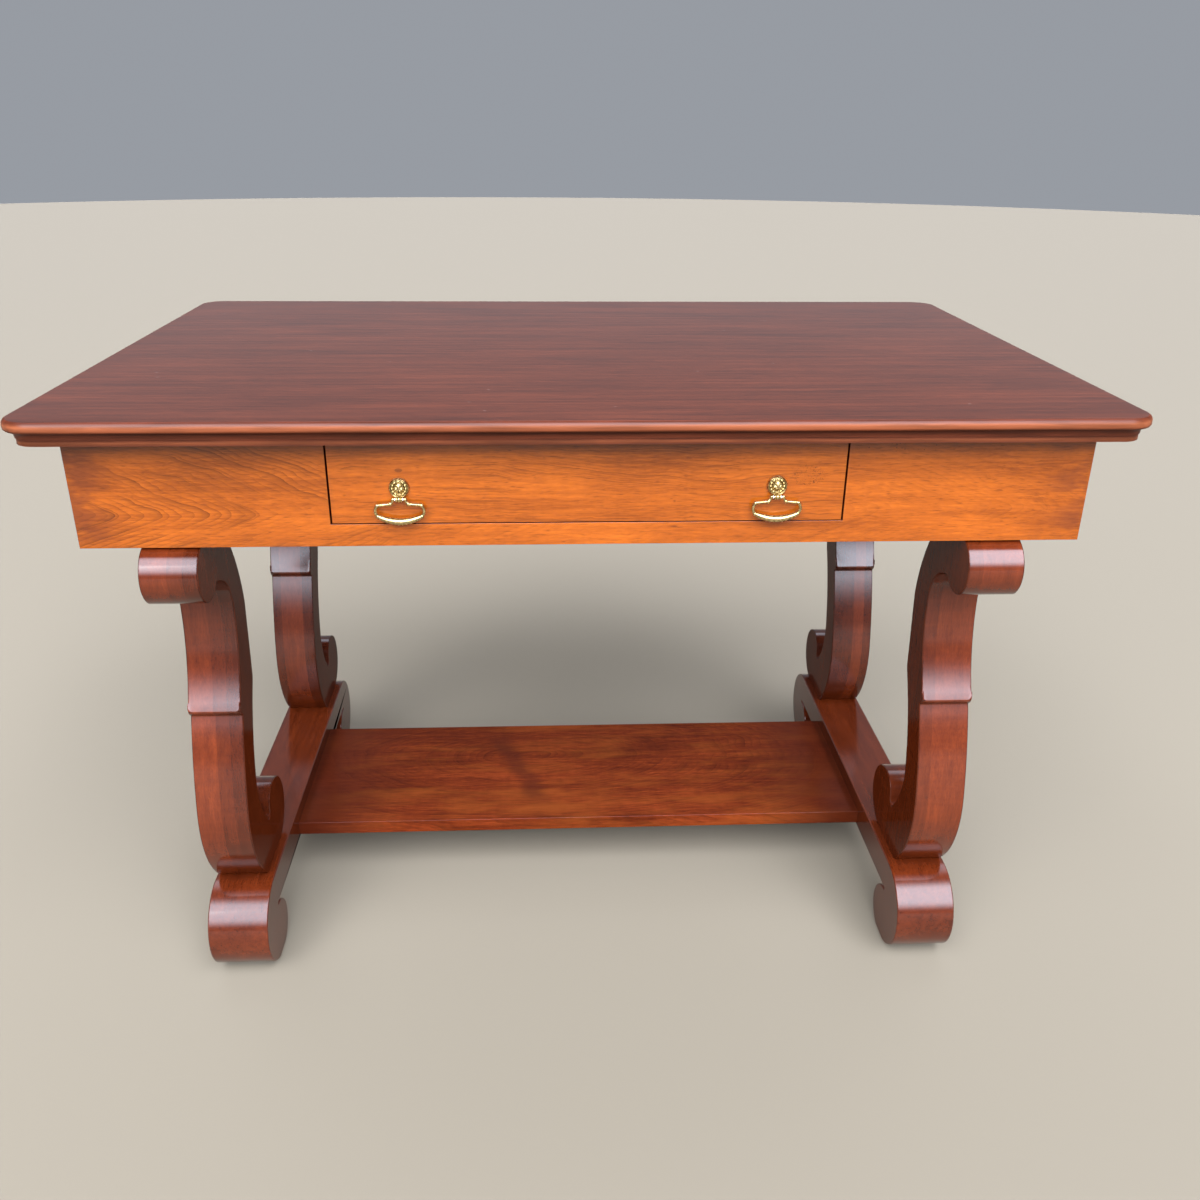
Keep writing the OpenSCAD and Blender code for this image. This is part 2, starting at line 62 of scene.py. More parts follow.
class Nodes:
    """Adds nodes to one tree and joins them as it goes."""

    def __init__(self, tree):
        self.tree = tree

    def add(self, kind, inputs=None, **settings):
        node = self.tree.nodes.new(kind)
        for name, value in settings.items():
            setattr(node, name, value)
        for key, value in (inputs or {}).items():
            socket = node.inputs[key]
            if isinstance(value, bpy.types.NodeSocket):
                self.tree.links.new(value, socket)
            else:
                socket.default_value = value
        return node

    def math(self, operation, a, b=0.0):
        return self.add("ShaderNodeMath", {0: a, 1: b}, operation=operation).outputs[0]

    def sum(self, *terms):
        total = terms[0]
        for term in terms[1:]:
            total = self.math("ADD", total, term)
        return total

    def scaled(self, value, factor, shift=0.0):
        return self.math("ADD", self.math("MULTIPLY", value, factor), shift)

    def remap(self, value, low, high, to_low=0.0, to_high=1.0):
        inputs = {0: value, 1: low, 2: high, 3: to_low, 4: to_high}
        return self.add("ShaderNodeMapRange", inputs, interpolation_type="SMOOTHSTEP").outputs[0]

    def vector(self, x, y, z):
        return self.add("ShaderNodeCombineXYZ", {0: x, 1: y, 2: z}).outputs[0]

    def drawn_out(self, place, scale):
        return self.add("ShaderNodeMapping", {"Vector": place, "Scale": scale}).outputs[0]

    def noise(self, place, scale=1.0, detail=2.0, roughness=0.5, distortion=0.0):
        inputs = {"Vector": place, "Scale": scale, "Detail": detail, "Roughness": roughness}
        inputs["Distortion"] = distortion
        return self.add("ShaderNodeTexNoise", inputs).outputs[0]

    def mix(self, share, a, b, blend="MIX"):
        node = self.add("ShaderNodeMix", {0: share, 6: a, 7: b}, data_type="RGBA", blend_type=blend)
        return node.outputs[2]

    def ramp(self, value, stops):
        node = self.add("ShaderNodeValToRGB", {0: value})
        elements = node.color_ramp.elements
        elements[0].position, elements[0].color = stops[0][0], (*stops[0][1], 1)
        elements[1].position, elements[1].color = stops[-1][0], (*stops[-1][1], 1)
        for position, colour in stops[1:-1]:
            elements.new(position).color = (*colour, 1)
        return node.outputs[0]


def new_material(name):
    material = bpy.data.materials.new(name)
    material.use_nodes = True
    material.node_tree.nodes.clear()
    return material, Nodes(material.node_tree)


def finish_material(n, colour, roughness, height=None, bump=0.0, depth=0.0, **constants):
    """Ends a material in one shader; constants are set on the shader's own sockets.

    A height gives bumps of the given strength and depth.
    """
    inputs = {"Base Color": colour, "Roughness": roughness}
    inputs.update({name.replace("_", " "): value for name, value in constants.items()})
    if height is not None:
        bumps = {"Height": height, "Strength": bump, "Distance": depth}
        inputs["Normal"] = n.add("ShaderNodeBump", bumps).outputs[0]
    shader = n.add("ShaderNodeBsdfPrincipled", inputs)
    n.add("ShaderNodeOutputMaterial", {"Surface": shader.outputs[0]})


# ---------------------------------------------------------------- wood

# Colours, linear.
DARK = (0.056, 0.0100, 0.0031)
ORANGE = (0.206, 0.0435, 0.0028)
RED = (0.056, 0.0086, 0.0018)
SHELF_RED = (0.082, 0.0119, 0.0025)
SAWN_AND_GAP_SHADE = (0.035, 0.006, 0.002)
PALE = (0.24, 0.16, 0.09)
NICK = (0.17, 0.10, 0.08, 1)
# The dark of the marks along the grain, and of the painted shade under the top's overhang.
DASH_AND_SHADE = (0.04, 0.008, 0.002, 1)
SCRATCH = (0.03, 0.007, 0.002, 1)
STAIN = (0.06, 0.011, 0.004, 1)
PIT = (0.02, 0.006, 0.002, 1)
CLEARING = (0.16, 0.036, 0.006, 1)
FEATHER = (0.030, 0.005, 0.002, 1)

# The grain's noises: waves per metre along and across, part of the log, detail, roughness.
PATTERNS = {
    "slow": (2.2, 9.0, 3.0, 2.0, 0.5),
    "quick": (14.0, 60.0, 4.0, 3.0, 0.6),
    "patches": (9.0, 28.0, 19.0, 2.0, 0.5),
    "wide": (5.0, 140.0, 0.0, 3.0, 0.6),
    "fine": (40.0, 520.0, 7.0, 3.0, 0.65),
    "broad": (5.0, 17.0, 11.0, 3.0, 0.5),
    "curl": (150.0, 18.0, 5.0, 2.0, 0.5),
    "wool": (48.0, 420.0, 21.0, 3.0, 0.65),
    "pores": (75.0, 1500.0, 13.0, 1.0, 0.5),
    "sheen": (14.0, 45.0, 17.0, 3.0, 0.6),
    "rubbing": (7.0, 160.0, 41.0, 3.0, 0.6),
    "drawer_dashes": (60.0, 330.0, 23.0, 2.0, 0.5),
    "apron_dashes": (60.0, 330.0, 29.0, 2.0, 0.5),
    "apron_clouds": (18.0, 40.0, 31.0, 3.0, 0.6),
    "shelf_clouds": (7.0, 24.0, 37.0, 3.0, 0.55),
}
BEND_ALONG, BEND_ACROSS, BEND = 16.0, 34.0, 5 * MM
BOLD_SHARE, BOLD_SHIFT, THIN_WEIGHT = 0.27, 0.4, 0.65
DENT_SCALE = 130.0


class Board:
    """Directions and slow waves of one kind of board: along the grain, then the two ways across."""

    ORDERS = {"X": (0, 1, 2), "Y": (1, 0, 2), "Z": (2, 0, 1)}

    def __init__(self, n, grain, seed):
        here = n.add("ShaderNodeTexCoord").outputs["Object"]
        axes = n.add("ShaderNodeSeparateXYZ", {0: here}).outputs
        self.n = n
        self.here = here
        self.x, self.y, self.z = axes[0], axes[1], axes[2]
        self.along, a, b = (axes[i] for i in self.ORDERS[grain])
        self.seed = seed
        place = n.vector(n.scaled(self.along, BEND_ALONG, seed), n.scaled(a, BEND_ACROSS),
                         n.scaled(b, BEND_ACROSS))
        sway = n.scaled(n.noise(place), BEND, -BEND / 2)
        self.a, self.b = n.sum(a, sway), n.sum(b, sway)

    def pattern(self, name):
        """One of the grain's noises, drawn out along the board, 0 to 1."""
        n = self.n
        along, across, shift, detail, roughness = PATTERNS[name]
        place = n.vector(
            n.scaled(self.along, along, self.seed + shift),
            n.scaled(self.a, across, self.seed * 1.7 + shift),
            n.scaled(self.b, across, self.seed * 2.3 + shift),
        )
        return n.noise(place, 1.0, detail, roughness)

    def rings(self, spacing, heart, tilt, wander, ragged, arms=None, fade=None):
        """Dark late-wood lines of a log whose heart runs tilted through the board, 0 to 1.

        Arms (slope, roundness) draw nested points instead of ovals; a fade (from, to, share)
        leaves only a share of the lines further along the grain.
        """
        n = self.n
        waves = n.sum(n.scaled(self.pattern("slow"), wander, -wander / 2),
                      n.scaled(self.pattern("quick"), ragged * 2, -ragged))
        across = n.sum(self.a, n.scaled(self.along, tilt[0], -heart[0]), waves)
        depth = n.sum(self.b, n.scaled(self.along, tilt[1], -heart[1]), waves)
        squares = n.math("MULTIPLY", depth, depth)
        if arms:
            reach = n.scaled(n.math("SQRT", n.scaled(squares, 1.0, arms[1] ** 2)), arms[0])
            reach = n.sum(across, reach)
        else:
            reach = n.math("SQRT", n.sum(n.math("MULTIPLY", across, across), squares))
        thin = n.math("POWER", n.math("FRACT", n.scaled(reach, 1 / spacing)), 3.0)
        bold = n.math("FRACT", n.scaled(reach, BOLD_SHARE / spacing, BOLD_SHIFT))
        bold = n.math("POWER", bold, 7.0)
        line = n.math("MAXIMUM", n.scaled(thin, THIN_WEIGHT), bold)
        line = n.math("MULTIPLY", line, n.remap(self.pattern("patches"), 0.38, 0.62, 0.2, 1.0))
        if fade:
            line = n.math("MULTIPLY", line, n.remap(self.along, fade[0], fade[1], 1.0, fade[2]))
        return line


SHADES = ((0.28, 0.42), (0.46, 0.85), (0.56, 1.12), (0.74, 1.75))


def shades(middle, spread):
    """Four stops of one wood, from its dark streaks to its light ones."""
    r, g, b = middle
    stops = []
    for position, share in SHADES:
        k = share**spread
        stops.append((position, (min(r * k**0.85, 1), min(g * k, 1), min(b * k**1.1, 1))))
    return stops


def wood(name, grain, middle, rings, seed, spread=1.0, ring_dark=0.35, streak=0.5, mottle=0.5,
         ripple=0.0, fleck=0.0, pore_dark=0.5, rough=(0.3, 0.42), coat=0.35, coat_rough=0.16,
         bump=0.25, dents=0.0, specular=0.5, extra=None):
    """A varnished or bare wood; extra(n, board, colour) may paint marks over its colour."""
    material, n = new_material(name)
    board = Board(n, grain, seed)
    ring = board.rings(**rings)
    wide, fine = board.pattern("wide"), board.pattern("fine")
    tone = n.sum(
        n.scaled(wide, streak, -streak / 2),
        n.scaled(fine, streak * 0.8, -streak * 0.4),
        n.scaled(board.pattern("broad"), mottle, 0.5 - mottle / 2),
    )
    for pattern, strength in (("curl", ripple), ("wool", fleck)):
        if strength:
            tone = n.sum(tone, n.scaled(board.pattern(pattern), strength, -strength / 2))
    colour = n.ramp(tone, shades(middle, spread))
    dark = tuple(0.28 * c for c in middle)
    colour = n.mix(n.scaled(ring, ring_dark), colour, (*dark, 1))
    pores = n.remap(board.pattern("pores"), 0.55, 0.75)
    colour = n.mix(n.scaled(pores, pore_dark), colour, (*dark, 1))
    if extra:
        colour = extra(n, board, colour)
    roughness = n.remap(board.pattern("sheen"), 0.3, 0.7, *rough)
    height = n.sum(n.scaled(fine, 0.5), n.scaled(pores, -0.8), n.scaled(wide, 0.3))
    if dents:
        height = n.sum(height, n.scaled(n.noise(board.here, DENT_SCALE), dents))
    finish_material(
        n, colour, roughness, height, bump, 0.25 * MM,
        Coat_Weight=coat, Coat_Roughness=coat_rough, Specular_IOR_Level=specular,
    )
    return material


def specks(n, place, scale, share):
    """Small rare spots, 0 to 1."""
    cells = n.add("ShaderNodeTexVoronoi", {"Vector": place, "Scale": scale})
    chance = n.add("ShaderNodeSeparateColor", {0: cells.outputs[1]}).outputs[0]
    near = n.remap(cells.outputs[0], 0.12, 0.22, 1.0, 0.0)
    return n.math("MULTIPLY", n.math("LESS_THAN", chance, share), near)


def spot(n, board, centre, size):
    """A soft oval round one place, 0 to 1; a size of nought leaves that way out."""
    parts = []
    for socket, middle, half in zip((board.x, board.y, board.z), centre, size):
        if half:
            offset = n.scaled(socket, 1 / half, -middle / half)
            parts.append(n.math("MULTIPLY", offset, offset))
    return n.remap(n.sum(*parts), 0.6, 1.3, 1.0, 0.0)


def tinted(n, colour, share):
    """The colour made lighter or darker by a share."""
    return n.mix(1.0, colour, n.vector(share, share, share), "MULTIPLY")


# Places of marks, as a middle and half sizes.
PLUG = (-0.2015, 0, 0.6985), (0.0042, 0, 0.0023)
SCRATCHES = (0.235, 0, 0.69), (0.018, 0, 0.012)
PITS = (0.335, 0, 0.722), (0.05, 0, 0.006)

# From where to where the painted shade of the top's overhang sets in under the top, stains at the
# ends of the apron, and the darker ends of the shelf.
OVERHANG_SHADE_Z = 708 * MM, 735 * MM
STAIN_X, SHELF_DARK_ENDS_X = (475 * MM, 545 * MM), (240 * MM, 400 * MM)

# The feather's slant and place on the shelf, its soft half width and half length.
FEATHER_LEAN, FEATHER_X, FEATHER_Y, FEATHER_WAVE = 0.42, -85.5 * MM, 20 * MM, 50 * MM
FEATHER_HALF, FEATHER_REACH = (4 * MM, 26 * MM), (60 * MM, 120 * MM)

# How strongly each mark covers the wood, 0 to 1, and the spread of specks.
NICK_SHARE, OVERHANG_SHADE_SHARE, DASH_SHARE, SCRATCH_SHARE, PLUG_SHARE = 0.4, 0.4, 0.55, 0.6, 0.5
STAIN_SHARE, PIT_SHARE, CLEARING_SHARE, FEATHER_SHARE, SHELF_DARK_ENDS_SHARE = 0.65, 0.9, 0.5, 0.55, 0.8
NICK_SCALE, NICK_CHANCE, PIT_SCALE, PIT_CHANCE, SCRATCH_SCALE = 110.0, 0.006, 330.0, 0.45, 420.0
STRIP_TINTS, RUBBED_TINTS = (0.72, 1.32), (0.7, 1.3)

# The moulding's colours, as its height from the underside (0) to the top (1): a rubbed lowest arris,
# a painted shadow under the nose, and a nose lighter from rubbing and from a painted highlight.
EDGE_WEAR_AND_LIGHT_STOPS = [
    (0.0, (0.06, 0.013, 0.004)), (0.04, (0.098, 0.026, 0.009)), (0.10, (0.062, 0.013, 0.0045)),
    (0.34, (0.058, 0.0115, 0.004)), (0.54, (0.042, 0.007, 0.0022)), (0.63, (0.055, 0.010, 0.003)),
    (0.74, (0.105, 0.026, 0.009)), (0.92, (0.145, 0.040, 0.015)), (1.0, DARK),
]


def top_marks(n, board, colour):
    """Small light nicks."""
    nicks = specks(n, board.here, NICK_SCALE, NICK_CHANCE)
    return n.mix(n.scaled(nicks, NICK_SHARE), colour, NICK)


def edge_wear_and_light_marks(n, board, colour):
    """The moulding's lowest arris is rubbed lighter; a painted shadow darkens the top of the hollow
    under the nose, and the nose is lighter orange, partly rubbed and partly a painted highlight.
    """
    height = n.remap(board.z, TABLE_H - TOP_T, TABLE_H)
    rubbing = n.remap(board.pattern("rubbing"), 0.3, 0.7, *RUBBED_TINTS)
    return tinted(n, n.ramp(height, EDGE_WEAR_AND_LIGHT_STOPS), rubbing)


def dashes(n, board, colour, pattern):
    """Short dark marks that lie along the grain, and a painted shadow of the top's overhang along
    the board's top edge.
    """
    # Painted shade: darker towards the top edge, where the top's overhang shades the board.
    colour = n.mix(n.remap(board.z, *OVERHANG_SHADE_Z, 0.0, OVERHANG_SHADE_SHARE), colour, DASH_AND_SHADE)
    marks = n.remap(board.pattern(pattern), 0.70, 0.80)
    return n.mix(n.scaled(marks, DASH_SHARE), colour, DASH_AND_SHADE)


def drawer_marks(n, board, colour):
    """A filled plug hole above the left pull and scratches beside the right one."""
    colour = dashes(n, board, colour, "drawer_dashes")
    scratch = n.remap(n.noise(board.here, SCRATCH_SCALE, 2.0, 0.6, 1.5), 0.56, 0.64)
    scratch = n.math("MULTIPLY", spot(n, board, *SCRATCHES), scratch)
    colour = n.mix(n.scaled(scratch, SCRATCH_SHARE), colour, SCRATCH)
    return n.mix(n.scaled(spot(n, board, *PLUG), PLUG_SHARE), colour, SCRATCH)


def apron_marks(n, board, colour):
    """Dark patches at both ends of the front board, and pits right of the drawer."""
    colour = dashes(n, board, colour, "apron_dashes")
    ends = n.remap(n.math("ABSOLUTE", board.x), *STAIN_X)
    patch = n.math("MULTIPLY", ends, n.remap(board.pattern("apron_clouds"), 0.38, 0.6))
    colour = n.mix(n.scaled(patch, STAIN_SHARE), colour, STAIN)
    pits = specks(n, board.here, PIT_SCALE, PIT_CHANCE)
    pits = n.math("MULTIPLY", spot(n, board, *PITS), pits)
    return n.mix(n.scaled(pits, PIT_SHARE), colour, PIT)


def leg_marks(n, board, colour):
    """The legs are glued up from upright strips, each of a slightly different tone."""
    inward = n.scaled(n.math("ABSOLUTE", board.x), 1.0, LEG_W - LEG_X)
    strip = n.math("FLOOR", n.scaled(inward, 1 / STRIP_W))
    side, end = n.math("SIGN", board.x), n.math("SIGN", board.y)
    key = n.sum(strip, n.scaled(side, 3.7), n.scaled(end, 5.1))
    chance = n.add("ShaderNodeTexWhiteNoise", {"W": key}, noise_dimensions="1D").outputs[0]
    return tinted(n, colour, n.remap(chance, 0.0, 1.0, *STRIP_TINTS))


def shelf_marks(n, board, colour):
    """Orange clearings, a slanting dark feather left of the middle, and darker ends."""
    cloud = board.pattern("shelf_clouds")
    colour = n.mix(n.remap(cloud, 0.4, 0.75, 0.0, CLEARING_SHARE), colour, CLEARING)
    slant = n.sum(board.x, n.scaled(board.y, FEATHER_LEAN, -FEATHER_X),
                  n.scaled(cloud, FEATHER_WAVE, -FEATHER_WAVE / 2))
    middle = n.remap(n.math("ABSOLUTE", slant), *FEATHER_HALF, FEATHER_SHARE, 0.0)
    reach = n.math("ABSOLUTE", n.scaled(board.y, 1.0, -FEATHER_Y))
    reach = n.remap(reach, *FEATHER_REACH, 1.0, 0.0)
    colour = n.mix(n.math("MULTIPLY", middle, reach), colour, FEATHER)
    # The shelf is darker towards both ends.
    ends = n.remap(n.math("ABSOLUTE", board.x), *SHELF_DARK_ENDS_X, 0.0, SHELF_DARK_ENDS_SHARE)
    return n.mix(ends, colour, FEATHER)


# Growth rings of each cut: what the lines look like and where the log's heart lies.
POINTED = {"spacing": 2.2 * MM, "heart": (-0.435, 0.652), "tilt": (0.16, 0.0), "wander": 0.014,
           "ragged": 0.0012, "arms": (0.42, 4 * MM), "fade": (-0.32, -0.1, 0.3)}
ARCHED = {"spacing": 3.4 * MM, "heart": (-0.361, 0.60), "tilt": (0.05, 0.03), "wander": 0.09,
          "ragged": 0.003}
STRAIGHT = {"spacing": 5.0 * MM, "heart": (-0.05, 0.40), "tilt": (0.02, 0.01), "wander": 0.03,
            "ragged": 0.003}
CLOUDED = {"spacing": 5.0 * MM, "heart": (0.055, 0.071), "tilt": (0.0, 0.38), "wander": 0.03,
           "ragged": 0.003}

satin = {"rough": (0.4, 0.5), "coat": 0.9, "coat_rough": 0.18, "specular": 0.0}
dull = {"rough": (0.45, 0.55), "coat": 0.2, "coat_rough": 0.2, "specular": 0.0}
gloss = {"rough": (0.35, 0.45), "coat": 1.0, "coat_rough": 0.15, "dents": 5.0, "specular": 0.0}
bare = {"pore_dark": 0.2, "rough": (0.55, 0.7), "coat": 0.0, "spread": 0.6, "ring_dark": 0.2}
orange = {"spread": 0.8, "streak": 0.4, "mottle": 0.65, "pore_dark": 0.5, "ripple": 0.06,
          "fleck": 0.34}
leg = {"spread": 0.8, "streak": 0.45, "ring_dark": 0.12, "mottle": 0.45, "ripple": 0.18,
       "pore_dark": 0.4}

top_wood = wood("top_mahogany", "X", DARK, STRAIGHT, 1.3, ring_dark=0.12, streak=0.6, mottle=0.35,
                pore_dark=0.35, bump=0.1, extra=top_marks, **{**satin, "coat": 0.85})
edge_wood = wood("edge_mahogany", "X", DARK, STRAIGHT, 1.3, bump=0.15, extra=edge_wear_and_light_marks,
                 **{**satin, "coat": 0.38, "coat_rough": 0.32})
front_wood = wood("front_mahogany", "X", ORANGE, POINTED, 2.1, ring_dark=0.85, extra=apron_marks,
                  **orange, **satin)
drawer_wood = wood("drawer_mahogany", "X", ORANGE, ARCHED, 3.3, ring_dark=0.6, extra=drawer_marks,
                   **orange, **satin)
end_wood = wood("end_mahogany", "Y", ORANGE, STRAIGHT, 4.2, ring_dark=0.3, **orange, **satin)
leg_wood = wood("leg_mahogany", "Z", RED, STRAIGHT, 5.5, extra=leg_marks, **leg, **gloss)
leg_side_wood = wood("leg_side_mahogany", "Z", RED, STRAIGHT, 5.5, **leg, **{**gloss, "coat": 0.3})
runner_wood = wood("runner_mahogany", "Y", RED, STRAIGHT, 6.4, spread=0.9, ring_dark=0.15,
                   ripple=0.1, **gloss)
shelf_wood = wood("shelf_mahogany", "X", SHELF_RED, CLOUDED, 7.9, spread=1.1, ring_dark=0.7,
                  ripple=0.1, fleck=0.5, extra=shelf_marks, **dull)
# Unvarnished edges in the drawer's gap, coloured near-black as painted shade in the gap.
gap_shade_wood = wood("sawn_edge_gap_shade", "X", SAWN_AND_GAP_SHADE, STRAIGHT, 10.7, specular=0.0, **bare)
pale_x = wood("inner_poplar_wide", "X", PALE, STRAIGHT, 8.3, **bare)
pale_y = wood("inner_poplar_deep", "Y", PALE, STRAIGHT, 9.1, **bare)
pale_z = wood("dowel_beech", "Z", PALE, STRAIGHT, 9.9, **bare)


def felt_pad():
    material, n = new_material("felt")
    here = n.add("ShaderNodeTexCoord").outputs["Object"]
    fibre = n.noise(here, 900.0, 4.0, 0.7, 0.6)
    cloud = n.noise(here, 120.0, 2.0, 0.5)
    fluff = n.scaled(n.sum(fibre, cloud), 0.5)
    colour = n.ramp(fluff, [(0.3, (0.012, 0.010, 0.009)), (0.7, (0.05, 0.042, 0.036))])
    finish_material(n, colour, 0.95, fibre, 0.6, 0.6 * MM, Sheen_Weight=0.3)
    return material


def screw_steel():
    material, n = new_material("screw_steel")
    here = n.add("ShaderNodeTexCoord").outputs["Object"]
    wear = n.noise(here, 420.0, 3.0, 0.6)
    turning = n.noise(n.drawn_out(here, (300, 300, 2600)))
    colour = n.ramp(wear, [(0.3, (0.30, 0.29, 0.28)), (0.7, (0.56, 0.56, 0.57))])
    roughness = n.remap(wear, 0.3, 0.7, 0.28, 0.5)
    finish_material(n, colour, roughness, turning, 0.15, 0.2 * MM, Metallic=1.0)
    return material


def cast_brass():
    """Polished brass, darker in the relief's hollows as painted shade, and rougher there, where
    polish and hands don't reach.
    """
    material, n = new_material("cast_brass")
    here = n.add("ShaderNodeTexCoord").outputs["Object"]
    hollow = n.add("ShaderNodeAttribute", attribute_name="hollow").outputs["Fac"]
    film = n.noise(here, 350.0, 3.0, 0.6)
    colour = n.ramp(film, [(0.3, (0.40, 0.29, 0.12)), (0.7, (0.57, 0.425, 0.195))])
    # Painted shade: darker in the relief's hollows.
    colour = n.mix(n.scaled(hollow, 0.85), colour, (0.05, 0.03, 0.009, 1))
    roughness = n.sum(n.remap(film, 0.3, 0.7, 0.18, 0.3), n.scaled(hollow, 0.2))
    scratches = n.noise(n.drawn_out(here, (500, 2500, 2500)))
    finish_material(n, colour, roughness, scratches, 0.08, 0.1 * MM, Metallic=1.0)
    return material


felt = felt_pad()
steel = screw_steel()
brass = cast_brass()

LEGS = {"leg_front_left": FRONT_LEG_Y, "leg_front_right": FRONT_LEG_Y,
        "leg_back_left": BACK_LEG_Y, "leg_back_right": BACK_LEG_Y}
FINISHES = dict.fromkeys(frame["nodes"], (pale_y, "inner_wood"))
for material, slot, names in (
    (top_wood, "top_wood", ["tabletop"]),
    (front_wood, "apron_wood", ["front_apron", "back_apron"]),
    (end_wood, "apron_wood", ["end_apron_left", "end_apron_right"]),
    (drawer_wood, "apron_wood", ["drawer_front"]),
    (shelf_wood, "base_wood", ["shelf"]),
    (runner_wood, "base_wood", ["runner_left", "runner_right"]),
    (leg_wood, "base_wood", LEGS),
    (pale_x, "inner_wood", ["drawer_back", "drawer_bottom"]),
    (pale_z, "inner_wood", ["leg_dowels"]),
    (steel, "steel", ["leg_screws", "top_screws", "drawer_screws"]),
    (brass, "brass", ["pull_nuts", "boss_left", "boss_right", "bail_left", "bail_right"]),
    (felt, "felt", [name for name in frame["nodes"] if name.startswith("glide")]),
):
    FINISHES.update(dict.fromkeys(names, (material, slot)))

for name, node in frame["nodes"].items():
    node.data.materials.clear()
    node.data.materials.append(FINISHES[name][0])


# ---------------------------------------------------------------- pieces


def link(piece):
    bpy.context.scene.collection.objects.link(piece)
    return piece


def add_piece(name, mesh, body, *nodes):
    """Makes a finished mesh a piece that rides on a body and stands for the given nodes."""
    material, slot = FINISHES[nodes[0]]
    if not mesh.materials:
        mesh.materials.append(material)
    piece = link(bpy.data.objects.new(name, mesh))
    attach(piece, body)
    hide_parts(*nodes)


def smooth(mesh, angle):
    mesh.shade_smooth()
    mesh.set_sharp_from_angle(angle=math.radians(angle))


def settled(piece):
    """The piece's mesh with its modifiers carried out, and the piece itself taken away."""
    graph = bpy.context.evaluated_depsgraph_get()
    mesh = bpy.data.meshes.new_from_object(
        piece.evaluated_get(graph), preserve_all_data_layers=True, depsgraph=graph
    )
    bpy.data.objects.remove(piece)
    return mesh


WELD, FLAT_ANGLE, ARRIS_ANGLE = 0.002 * MM, 0.6, 32
CREST_INSETS, CREST_RISE = (0.8 * MM, 2.2 * MM, 5.5 * MM), 5 * MM
CREST_BAND = -4 * MM, 1 * MM


def merged_copy(node):
    """A node's solid as one skin of large flat faces."""
    work = bmesh.new()
    work.from_mesh(frame["nodes"][node].data)
    bmesh.ops.remove_doubles(work, verts=work.verts, dist=WELD)
    flat = math.radians(FLAT_ANGLE)
    bmesh.ops.dissolve_limit(work, angle_limit=flat, verts=work.verts, edges=work.edges)
    return work


def eased(work, name, width):
    """The skin with its arrises rounded, as sanding leaves them."""
    mesh = bpy.data.meshes.new(name)
    work.to_mesh(mesh)
    work.free()
    smooth(mesh, 60)
    piece = link(bpy.data.objects.new("work", mesh))
    bevel = piece.modifiers.new("ease", "BEVEL")
    bevel.width = width
    bevel.segments = 3
    bevel.limit_method = "ANGLE"
    bevel.angle_limit = math.radians(ARRIS_ANGLE)
    bevel.use_clamp_overlap = False
    flats = piece.modifiers.new("flats", "WEIGHTED_NORMAL")
    flats.keep_sharp = True
    return settled(piece)


def round_crest(work, leg_y):
    """Lifts the ends of the crest's lower edge, so that its corners look rounded from the front."""
    reach = CREST_INSETS[-1]
    side = math.copysign(1, next(iter(work.verts)).co.x)
    for inset in CREST_INSETS:
        for x in (LEG_X - inset, LEG_X - LEG_W + inset):
            parts = work.verts[:] + work.edges[:] + work.faces[:]
            bmesh.ops.bisect_plane(work, geom=parts, plane_co=(side * x, 0, 0), plane_no=(1, 0, 0))
    for vert in work.verts:
        if abs(vert.co.y - leg_y) < 1 * MM and CREST_BAND[0] < vert.co.z - CREST_Z < CREST_BAND[1]:
            x = abs(vert.co.x)
            t = min(LEG_X - x, x - LEG_X + LEG_W) / reach
            if t < 1:
                vert.co.z += CREST_RISE * (1 - math.sqrt(max(0.0, 1 - (1 - t) ** 2)))


# How far a face's normal turns to the side, or away from the front, to count as such.
SIDEWAYS, NOT_FRONT = 0.9, -0.35

# Widths of the eased arrises.
LEG_EASE = 1.3 * MM
BOARDS = {"runner_left": 1.5 * MM, "runner_right": 1.5 * MM, "shelf": 1.2 * MM,
          "front_apron": 0.35 * MM, "back_apron": 0.35 * MM, "end_apron_left": 0.5 * MM,
          "end_apron_right": 0.5 * MM, "drawer_front": 0.5 * MM}


def two_finishes(mesh, main, other, chosen):
    """Gives the chosen faces a finish of their own."""
    mesh.materials.clear()
    mesh.materials.append(main)
    mesh.materials.append(other)
    for face in mesh.polygons:
        face.material_index = int(chosen(face))


def leg_side(face):
    return abs(face.normal.x) > SIDEWAYS


def gap_face(face):
    """An edge or the back of the drawer's front, or of the opening that it fills; these carry the
    painted shade of the gap.
    """
    near = abs(face.center.x) < OPENING_W / 2 + 1 * MM and face.center.z > RAIL_TOP_Z - 2 * MM
    return near and face.normal.y > NOT_FRONT


def moulded_face(face):
    """A face of the top between its two flats."""
    return -TOP_T + 0.1 * MM < face.center.z - TABLE_H < -0.2 * MM


def dressed_boards():
    for name, leg_y in LEGS.items():
        work = merged_copy(name)
        round_crest(work, leg_y)
        mesh = eased(work, name + "_eased", LEG_EASE)
        two_finishes(mesh, leg_wood, leg_side_wood, leg_side)
        add_piece(name + "_eased", mesh, "frame", name)
    for name, width in BOARDS.items():
        mesh = eased(merged_copy(name), name + "_eased", width)
        if name in ("front_apron", "drawer_front"):
            two_finishes(mesh, FINISHES[name][0], gap_shade_wood, gap_face)
        add_piece(name + "_eased", mesh, "drawer" if name == "drawer_front" else "frame", name)


# ---------------------------------------------------------------- geometry nodes


